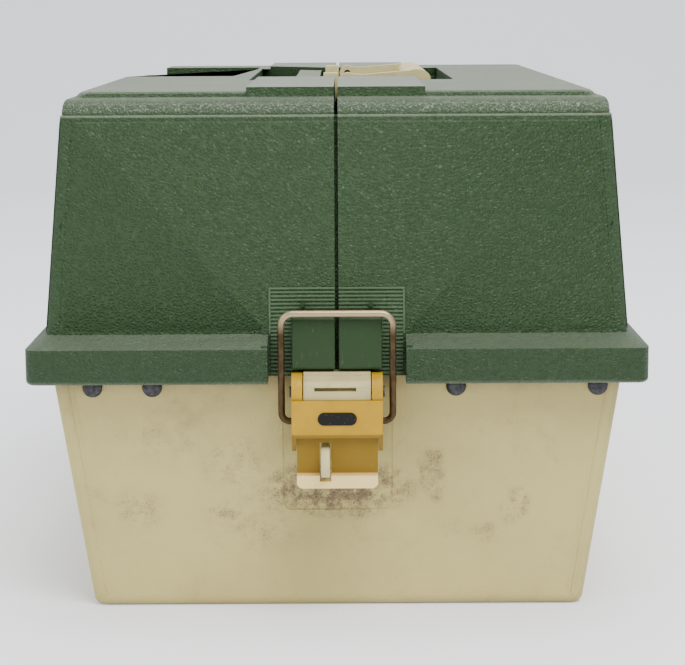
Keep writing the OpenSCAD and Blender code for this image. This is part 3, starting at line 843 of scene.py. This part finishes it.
def tub_shell():
    tub = sizes("box_tub")
    low = tub_half(0)
    levels = [(0.0, low[0] - 0.003, low[1] - 0.003), (0.001, low[0] - 0.0008, low[1] - 0.0008),
              (tub.foot, *tub_half(tub.foot)), (RIM_Z, *tub_half(RIM_Z))]
    shell = frustum("tub", levels, tub.corner)
    edit(shell, "FACE", lambda c, n: tub.foot < c.z < RIM_Z and max(abs(n.x), abs(n.y)) > 0.98)
    bpy.ops.mesh.inset(thickness=0.0028, depth=0.0, use_individual=True)
    bpy.ops.mesh.inset(thickness=0.0012, depth=-0.0006, use_individual=True)
    leave()
    inner = [(tub.wall, *(v - tub.wall for v in tub_half(tub.wall))),
             (RIM_Z + 0.001, *(v - tub.wall for v in tub_half(RIM_Z + 0.001)))]
    cut(shell, frustum("hollow", inner, 0.003))
    for end in (-1, 1):
        ys = sorted((end * (tub_half(0.05)[1] - 0.0003), end * 0.23))
        recess = box("recess", (-0.026, ys[0], 0.049), (0.026, ys[1], RIM_Z + 0.01))
        edit(recess, "EDGE", lambda a, b: abs(a.x - b.x) < 1e-6 and abs(a.z - b.z) < 1e-6 and a.z < 0.05)
        bpy.ops.mesh.bevel(offset=0.004, segments=5, affect="EDGES")
        leave()
        for corner in recess.data.vertices:
            if abs(corner.co.y) < 0.22:
                corner.co.y = end * (tub_half(corner.co.z)[1] - 0.0011)
        cut(shell, recess)
    for s in (-1, 1):
        for y in (-0.15, 0, 0.15):
            for k in (-1, 1):
                mid = y + k * 0.016
                knuckle = rod("knuckle", (s * HINGE_X, mid - 0.005, HINGE_Z), (s * HINGE_X, mid + 0.005, HINGE_Z), 0.003)
                xs = sorted((s * 0.1294, s * HINGE_X))
                cut(knuckle, box("web", (xs[0], mid - 0.005, HINGE_Z - 0.0015), (xs[1], mid + 0.005, HINGE_Z + 0.0024)),
                    "UNION")
                cut(shell, knuckle, "UNION")
    for s, pivot in ((-1, "arm_left_outer_pivot"), (1, "arm_right_outer_pivot")):
        low = tub.half_w - tub.wall - abs(JOINTS[pivot]["pos_m"][0]) + PIN_Z - 0.0089
        for end_name, end in ENDS:
            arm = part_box(f"{pivot[:-6]}_{end_name}")
            cut(shell, box("notch", (s * tub.half_w - 0.008, arm[0][1] - 0.0007, low),
                           (s * tub.half_w + 0.008, arm[1][1] + 0.0007, 0.14)))
    tidy(shell)
    soften(shell, 0.0005, 2, 30)
    smooth(shell)
    shell.name = "tub_shell"
    finish_piece(shell, "tub", material("tan"), "base_tub")


def latch_boss():
    """The slotted hinge boss between the ears of the lever."""
    half = 0.0155
    radius = 0.0078
    boss = rod("latch_boss_front", (-half, PIN_Y, PIN_Z), (half, PIN_Y, PIN_Z), radius, 48)
    cut(boss, box("web", (-half, PIN_Y, PIN_Z - radius), (half, -0.2125, 0.1145)), "UNION")
    face = box("face", (-half, PIN_Y - radius, PIN_Z - 0.0026), (half, PIN_Y, PIN_Z + 0.0030))
    cut(boss, face, "UNION")
    cut(boss, box("top", (-half, PIN_Y - 0.0013, PIN_Z), (half, -0.2195, 0.1199)), "UNION")
    cut(boss, box("slot", (-0.0105, -0.24, 0.1118), (0.0088, PIN_Y - 0.003, 0.1136)))
    soften(boss, 0.0004, 2)
    smooth(boss)
    rear = turned_copy(boss, "latch_boss_rear")
    for piece in (boss, rear):
        finish_piece(piece, "tub", material("boss"))


def tub_rivets():
    """Domed rivet heads on the end walls, with their shanks inside."""
    for end_name, end in ENDS:
        node = f"rivets_tub_{end_name}"
        low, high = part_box(node)
        heads = []
        left, right = low.x + 0.0047, high.x - 0.0047
        wall = tub_half(PIN_Z)[1]
        for x in (left, left + 0.028, right - 0.0664, right):
            deselect()
            bpy.ops.mesh.primitive_uv_sphere_add(segments=40, ring_count=20, radius=0.0047,
                                                 location=(x, end * (wall + 0.0004), PIN_Z),
                                                 rotation=(math.pi / 2, 0, 0), scale=(1, 1, 0.52))
            head = place("head")
            edit(head)
            bpy.ops.mesh.bisect(plane_co=(0, end * (wall + 0.0002), 0), plane_no=(0, end, 0),
                                use_fill=True, clear_inner=True)
            leave()
            shank = rod("shank", (x, end * 0.1990, PIN_Z), (x, end * (wall + 0.001), PIN_Z), 0.0019, 24)
            collar = rod("collar", (x, end * 0.2023, PIN_Z), (x, end * (wall - 0.0033), PIN_Z), 0.0034, 24)
            tail = rod("tail", (x, end * 0.1958, PIN_Z), (x, end * 0.1970, PIN_Z), 0.0034, 24)
            heads += [head, shank, soften(collar, 0.0003), soften(tail, 0.0003)]
        rivets = smooth(join(f"tub_rivets_{end_name}", heads), 50)
        finish_piece(rivets, "tub", material("steel"), node)


# ---------------------------------------------------------------- latch
LEVER_HALF = 0.021
PANEL_Y = -0.2359
STEP_Z = 0.0923


def latch_levers():
    """The mustard lever: ears round the pin, a plain panel, a sunken panel and a lip to pull."""
    ear = 9 * MM
    front = PANEL_Y
    top = PIN_Z - 0.0027
    lip_half = 0.0187
    lever = box("lever", (-LEVER_HALF, front, STEP_Z), (LEVER_HALF, front + 0.0018, top))
    for s in (-1, 1):
        xs = sorted((s * 0.016, s * LEVER_HALF))
        cut(lever, rod("ear", (xs[0], PIN_Y, PIN_Z), (xs[1], PIN_Y, PIN_Z), ear, 64), "UNION")
        xs = sorted((s * (LEVER_HALF - 0.002), s * LEVER_HALF))
        flange = across("flange", [(front, top), (front, STEP_Z), (front + 0.003, 0.0860), (front + 0.0052, 0.0835),
                                   (-0.2275, 0.0850), (-0.2220, 0.0930), (-0.2190, 0.1010), (-0.2190, top)], *xs)
        cut(lever, flange, "UNION")
    cut(lever, box("step", (-LEVER_HALF + 0.001, front, 0.0905), (LEVER_HALF - 0.001, -0.2309, 0.0932)), "UNION")
    cut(lever, box("sunken", (-lip_half, front + 0.0032, 0.0700), (lip_half, -0.2309, STEP_Z)), "UNION")
    lip = box("lip", (-lip_half, -0.2365, 0.0670), (lip_half, -0.2309, 0.0730))
    edit(lip, "EDGE", lambda a, b: abs(a.x - b.x) < 1e-6 and abs(a.z - b.z) < 1e-6 and a.z < 0.068)
    bpy.ops.mesh.bevel(offset=0.0028, segments=5, affect="EDGES")
    leave()
    cut(lever, lip, "UNION")
    cut(lever, box("slot", (-0.0082, -0.24, 0.0702), (-0.0028, -0.225, 0.0878)))
    cut(lever, rod("pin_bore", (-0.03, PIN_Y, PIN_Z), (0.03, PIN_Y, PIN_Z), 0.00166))
    bail = JOINTS["bail_front_pivot"]["pos_m"]
    cut(lever, rod("wire_bore", (-0.03, bail[1], bail[2]), (0.03, bail[1], bail[2]), 0.00166))
    tidy(lever)
    soften(lever, 0.00045, 3)
    smooth(lever)
    lever = join("latch_lever_front_detail", [lever])
    rear = turned_copy(lever, "latch_lever_rear_detail")
    for piece, (end_name, end) in zip((lever, rear), ENDS):
        finish_piece(piece, f"latch_{end_name}", material("mustard"), f"latch_lever_{end_name}")


def wire_bails():
    """A bent wire that hooks over the catch blocks, its ends turned in to the lever."""
    node = "wire_bail_front"
    low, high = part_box(node)
    radius = 0.0016
    half = high.x - radius
    pivot = Vector(JOINTS["bail_front_pivot"]["pos_m"])
    top = high.z - radius
    lean = (low.y + radius - pivot.y) / (top - pivot.z)

    def at(x, z):
        return Vector((x, pivot.y + lean * (z - pivot.z), z))

    def bend(x, z, size, start):
        steps = 8
        return [at(x + size * math.cos(start + k * math.pi / 2 / steps),
                   z + size * math.sin(start + k * math.pi / 2 / steps)) for k in range(steps + 1)]

    small, large = 0.004, 0.0055
    route = [at(0.017, pivot.z)]
    route += bend(half - small, pivot.z + small, small, -math.pi / 2)
    route += bend(half - large, top - large, large, 0)
    route += [Vector((-p.x, p.y, p.z)) for p in reversed(route)]
    deselect()
    bpy.ops.mesh.primitive_circle_add(vertices=len(route), radius=1, fill_type="NOTHING")
    wire = bpy.context.object
    for corner, point in zip(wire.data.vertices, route):
        corner.co = point
    edit(wire, "EDGE", lambda a, b: min(a.x, b.x) < -0.0169 and max(a.x, b.x) > 0.0169 and a.z < pivot.z + 0.001
         and b.z < pivot.z + 0.001)
    bpy.ops.mesh.delete(type="EDGE")
    leave()
    work_on(wire)
    bpy.ops.object.convert(target="CURVE")
    wire = bpy.context.object
    wire.data.bevel_depth = radius
    wire.data.bevel_resolution = 6
    wire.data.use_fill_caps = True
    bpy.ops.object.convert(target="MESH")
    front = place("wire_bail_front_detail")
    tidy(front)
    soften(front, 0.0003, 2, 60)
    smooth(front, 50)
    rear = turned_copy(front, "wire_bail_rear_detail")
    for piece, (end_name, end) in zip((front, rear), ENDS):
        finish_piece(piece, f"bail_{end_name}", material("wire"), f"wire_bail_{end_name}")


def body_holding(node):
    bodies = frame["record"]["behaviour"]["bodies"]
    return next(body for body, members in bodies.items() if node in members)


def softened(node, name, key, width, segments=2, angle=40):
    """A piece on a node's own form, with its edges worked round."""
    work_on(frame["nodes"][node])
    bpy.ops.object.duplicate()
    piece = bpy.context.object
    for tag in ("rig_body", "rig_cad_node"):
        if tag in piece:
            del piece[tag]
    piece.parent = None
    piece.name = piece.data.name = name
    edit(piece)
    bpy.ops.mesh.remove_doubles(threshold=0.00001)
    bpy.ops.mesh.dissolve_limited(angle_limit=math.radians(0.5))
    leave()
    soften(piece, width, segments, angle)
    smooth(piece)
    finish_piece(piece, body_holding(node), material(key), node)
    return piece


def lock_staples():
    for end_name, end in ENDS:
        softened(f"lock_staple_{end_name}", f"lock_staple_{end_name}_detail", "ivory", 0.0006, 3)


# ---------------------------------------------------------------- inside and handle
def trays():
    for side_name, side in SIDES:
        for level in LEVELS:
            node = f"tray_{side_name}_{level}"
            softened(node, node + "_detail", "tray", 0.0004)
            node = f"dividers_{side_name}_{level}"
            softened(node, node + "_detail", "ivory", 0.0002)


def carry_handle():
    """The folding handle: two hubs, two arms that rise from them and a rounded grip."""
    low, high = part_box("carry_handle")
    pivot = Vector(JOINTS["handle_pivot"]["pos_m"])
    hub = pivot.x - low.x
    arm = 0.009
    grip_x, grip_z = high.x - 0.0072, high.z - 0.0046
    handle = rod("carry_grip", (grip_x, low.y, grip_z), (grip_x, high.y, grip_z), 0.0046, 40)
    edit(handle)
    bpy.ops.transform.resize(value=(1.55, 1, 1), center_override=(grip_x, 0, grip_z))
    leave()
    outline = ((pivot.x, pivot.z - 0.0040), (grip_x, grip_z - 0.0043), (grip_x, grip_z + 0.0043),
               (pivot.x + 0.008, pivot.z + 0.0034), (pivot.x, pivot.z + 0.0040))
    for y in (low.y, high.y - arm):
        cut(handle, rod("hub", (pivot.x, y, pivot.z), (pivot.x, y + arm, pivot.z), hub, 48), "UNION")
        bar = prism("bar", outline, -y - arm, -y)
        edit(bar)
        bpy.ops.transform.rotate(value=-math.pi / 2, orient_axis="X", center_override=(0, 0, 0))
        leave()
        bar = place("bar")
        cut(handle, bar, "UNION")
    cut(handle, rod("bore", (pivot.x, -0.1, pivot.z), (pivot.x, 0.13, pivot.z), 0.00206))
    tidy(handle)
    soften(handle, 0.0009, 3)
    smooth(handle)
    finish_piece(handle, "handle", material("ivory"), "carry_handle")
    softened("handle_rest", "handle_rest_detail", "ivory", 0.0007, 3)


def finish_cad_nodes():
    """Gives each node that is shown as it is its own finish."""
    keys = {"arm": "bright_steel", "link": "bright_steel", "hinge_rod": "bright_steel", "rivets": "steel",
            "latch_pin": "steel", "handle_pins": "steel", "latch_badge": "print"}
    for name, node in frame["nodes"].items():
        for start, key in keys.items():
            if name.startswith(start):
                node.data.materials.clear()
                node.data.materials.append(material(key))


# ---------------------------------------------------------------- stage
def studio():
    deselect()
    bpy.ops.mesh.primitive_plane_add(size=1, location=(0, 0.3, 0))
    floor = bpy.context.object
    floor.scale = (9, 7, 1)
    floor = place("studio_floor")
    edit(floor, "EDGE", lambda a, b: a.y > 3 and b.y > 3)
    bpy.ops.mesh.extrude_region_move(TRANSFORM_OT_translate={"value": (0, 0, 4.5)})
    leave()
    edit(floor, "EDGE", lambda a, b: a.y > 3 and b.y > 3 and a.z < 0.1 and b.z < 0.1)
    bpy.ops.mesh.bevel(offset=1.6, segments=16, affect="EDGES")
    leave()
    smooth(floor, 60)
    floor.data.materials.append(studio_paint("studio_white", (0.90, 0.91, 0.95)))

    world = bpy.context.scene.world or bpy.data.worlds.new("studio_world")
    bpy.context.scene.world = world
    world.use_nodes = True
    world.node_tree.nodes["Background"].inputs["Color"].default_value = (0.93, 0.96, 1.0, 1)
    world.node_tree.nodes["Background"].inputs["Strength"].default_value = 0.80

    for name, place_at, aim, size, power in (
            ("key_light", (0.7, -1.5, 2.2), (0, 0, 0.15), 1.4, 66),
            ("fill_light", (-1.8, -1.2, 1.3), (0, 0, 0.12), 1.6, 20),
            ("top_light", (0.2, 0.3, 2.6), (0, 0, 0.2), 1.8, 48)):
        deselect()
        way = Vector(aim) - Vector(place_at)
        bpy.ops.object.light_add(type="AREA", location=place_at, rotation=way.to_track_quat("-Z", "Y").to_euler())
        light = bpy.context.object
        light.name, light.data.size, light.data.energy = name, size, power
        light.data.color = (1.0, 0.985, 0.96)


def camera():
    """A long lens a little above the box, looking at its front end."""
    scene = bpy.context.scene
    distance, height = 0.927, 0.287
    pitch, roll = math.radians(9.1), math.radians(0.3)
    bpy.ops.object.camera_add(location=(0.0034, -LID_HALF_L - distance, height),
                              rotation=(math.pi / 2 - pitch, roll, 0))
    view = bpy.context.object
    view.name = "photo_camera"
    view.data.sensor_width = 36
    view.data.lens = 107.4
    view.data.dof.use_dof = False
    scene.camera = view


# ---------------------------------------------------------------- operators
class BuildStep(bpy.types.Operator):
    """Builds one group of pieces of the tackle box"""
    bl_options = {"REGISTER", "UNDO"}

    def execute(self, context):
        self.build()
        return {"FINISHED"}


def for_each_side(*makers):
    for side_name, side in SIDES:
        for maker in makers:
            maker(side_name, side)


class BuildLids(BuildStep):
    """Builds both lid halves with their ribs and catch blocks"""
    bl_idname = "box.build_lids"
    bl_label = "Lids"

    def build(self):
        for_each_side(lid_half, rib_panel, catch_blocks)


class BuildTub(BuildStep):
    """Builds the tub, its latch bosses and the domed rivets"""
    bl_idname = "box.build_tub"
    bl_label = "Tub"

    def build(self):
        tub_shell()
        latch_boss()
        tub_rivets()


class BuildLatches(BuildStep):
    """Builds the latch levers, the wire bails and the staples"""
    bl_idname = "box.build_latches"
    bl_label = "Latches"

    def build(self):
        latch_levers()
        wire_bails()
        lock_staples()


class BuildTrays(BuildStep):
    """Builds the trays and their dividers"""
    bl_idname = "box.build_trays"
    bl_label = "Trays"

    def build(self):
        trays()


class BuildHandle(BuildStep):
    """Builds the folding handle and the blocks it rests on"""
    bl_idname = "box.build_handle"
    bl_label = "Handle"

    def build(self):
        carry_handle()


class FinishMetal(BuildStep):
    """Gives the arms, links, rods, pins and badges their finishes"""
    bl_idname = "box.finish_metal"
    bl_label = "Metal finishes"

    def build(self):
        finish_cad_nodes()


class BuildStage(BuildStep):
    """Sets up the floor, the lights and the camera"""
    bl_idname = "box.build_stage"
    bl_label = "Stage"

    def build(self):
        studio()
        camera()


class BOX_PT_panel(bpy.types.Panel):
    """Sizes, colours and build steps of the tackle box"""
    bl_idname = "BOX_PT_panel"
    bl_label = "Tackle Box"
    bl_space_type = "VIEW_3D"
    bl_region_type = "UI"
    bl_category = "Tackle Box"

    def draw(self, context):
        for step in STEPS:
            self.layout.operator(step.bl_idname, text=step.bl_label)
        for group in GROUPS:
            settings = getattr(context.scene, group)
            for key in settings.bl_rna.properties.keys():
                if key not in ("rna_type", "name"):
                    self.layout.prop(settings, key)


GROUPS = {"box_lid": LidSizes, "box_tub": TubSizes, "box_colours": PartColours}
STEPS = (BuildStage, BuildLids, BuildTub, BuildLatches, BuildTrays, BuildHandle, FinishMetal)


def register():
    for name, group in GROUPS.items():
        bpy.utils.register_class(group)
        setattr(bpy.types.Scene, name, PointerProperty(type=group))
    for item in (*STEPS, BOX_PT_panel):
        bpy.utils.register_class(item)


def unregister():
    for item in reversed((*STEPS, BOX_PT_panel)):
        bpy.utils.unregister_class(item)
    for name, group in GROUPS.items():
        delattr(bpy.types.Scene, name)
        bpy.utils.unregister_class(group)


def main():
    register()
    bpy.ops.box.build_stage()
    bpy.ops.box.build_lids()
    bpy.ops.box.build_tub()
    bpy.ops.box.build_latches()
    bpy.ops.box.build_trays()
    bpy.ops.box.build_handle()
    bpy.ops.box.finish_metal()
    deselect()


if __name__ == "__main__":
    main()
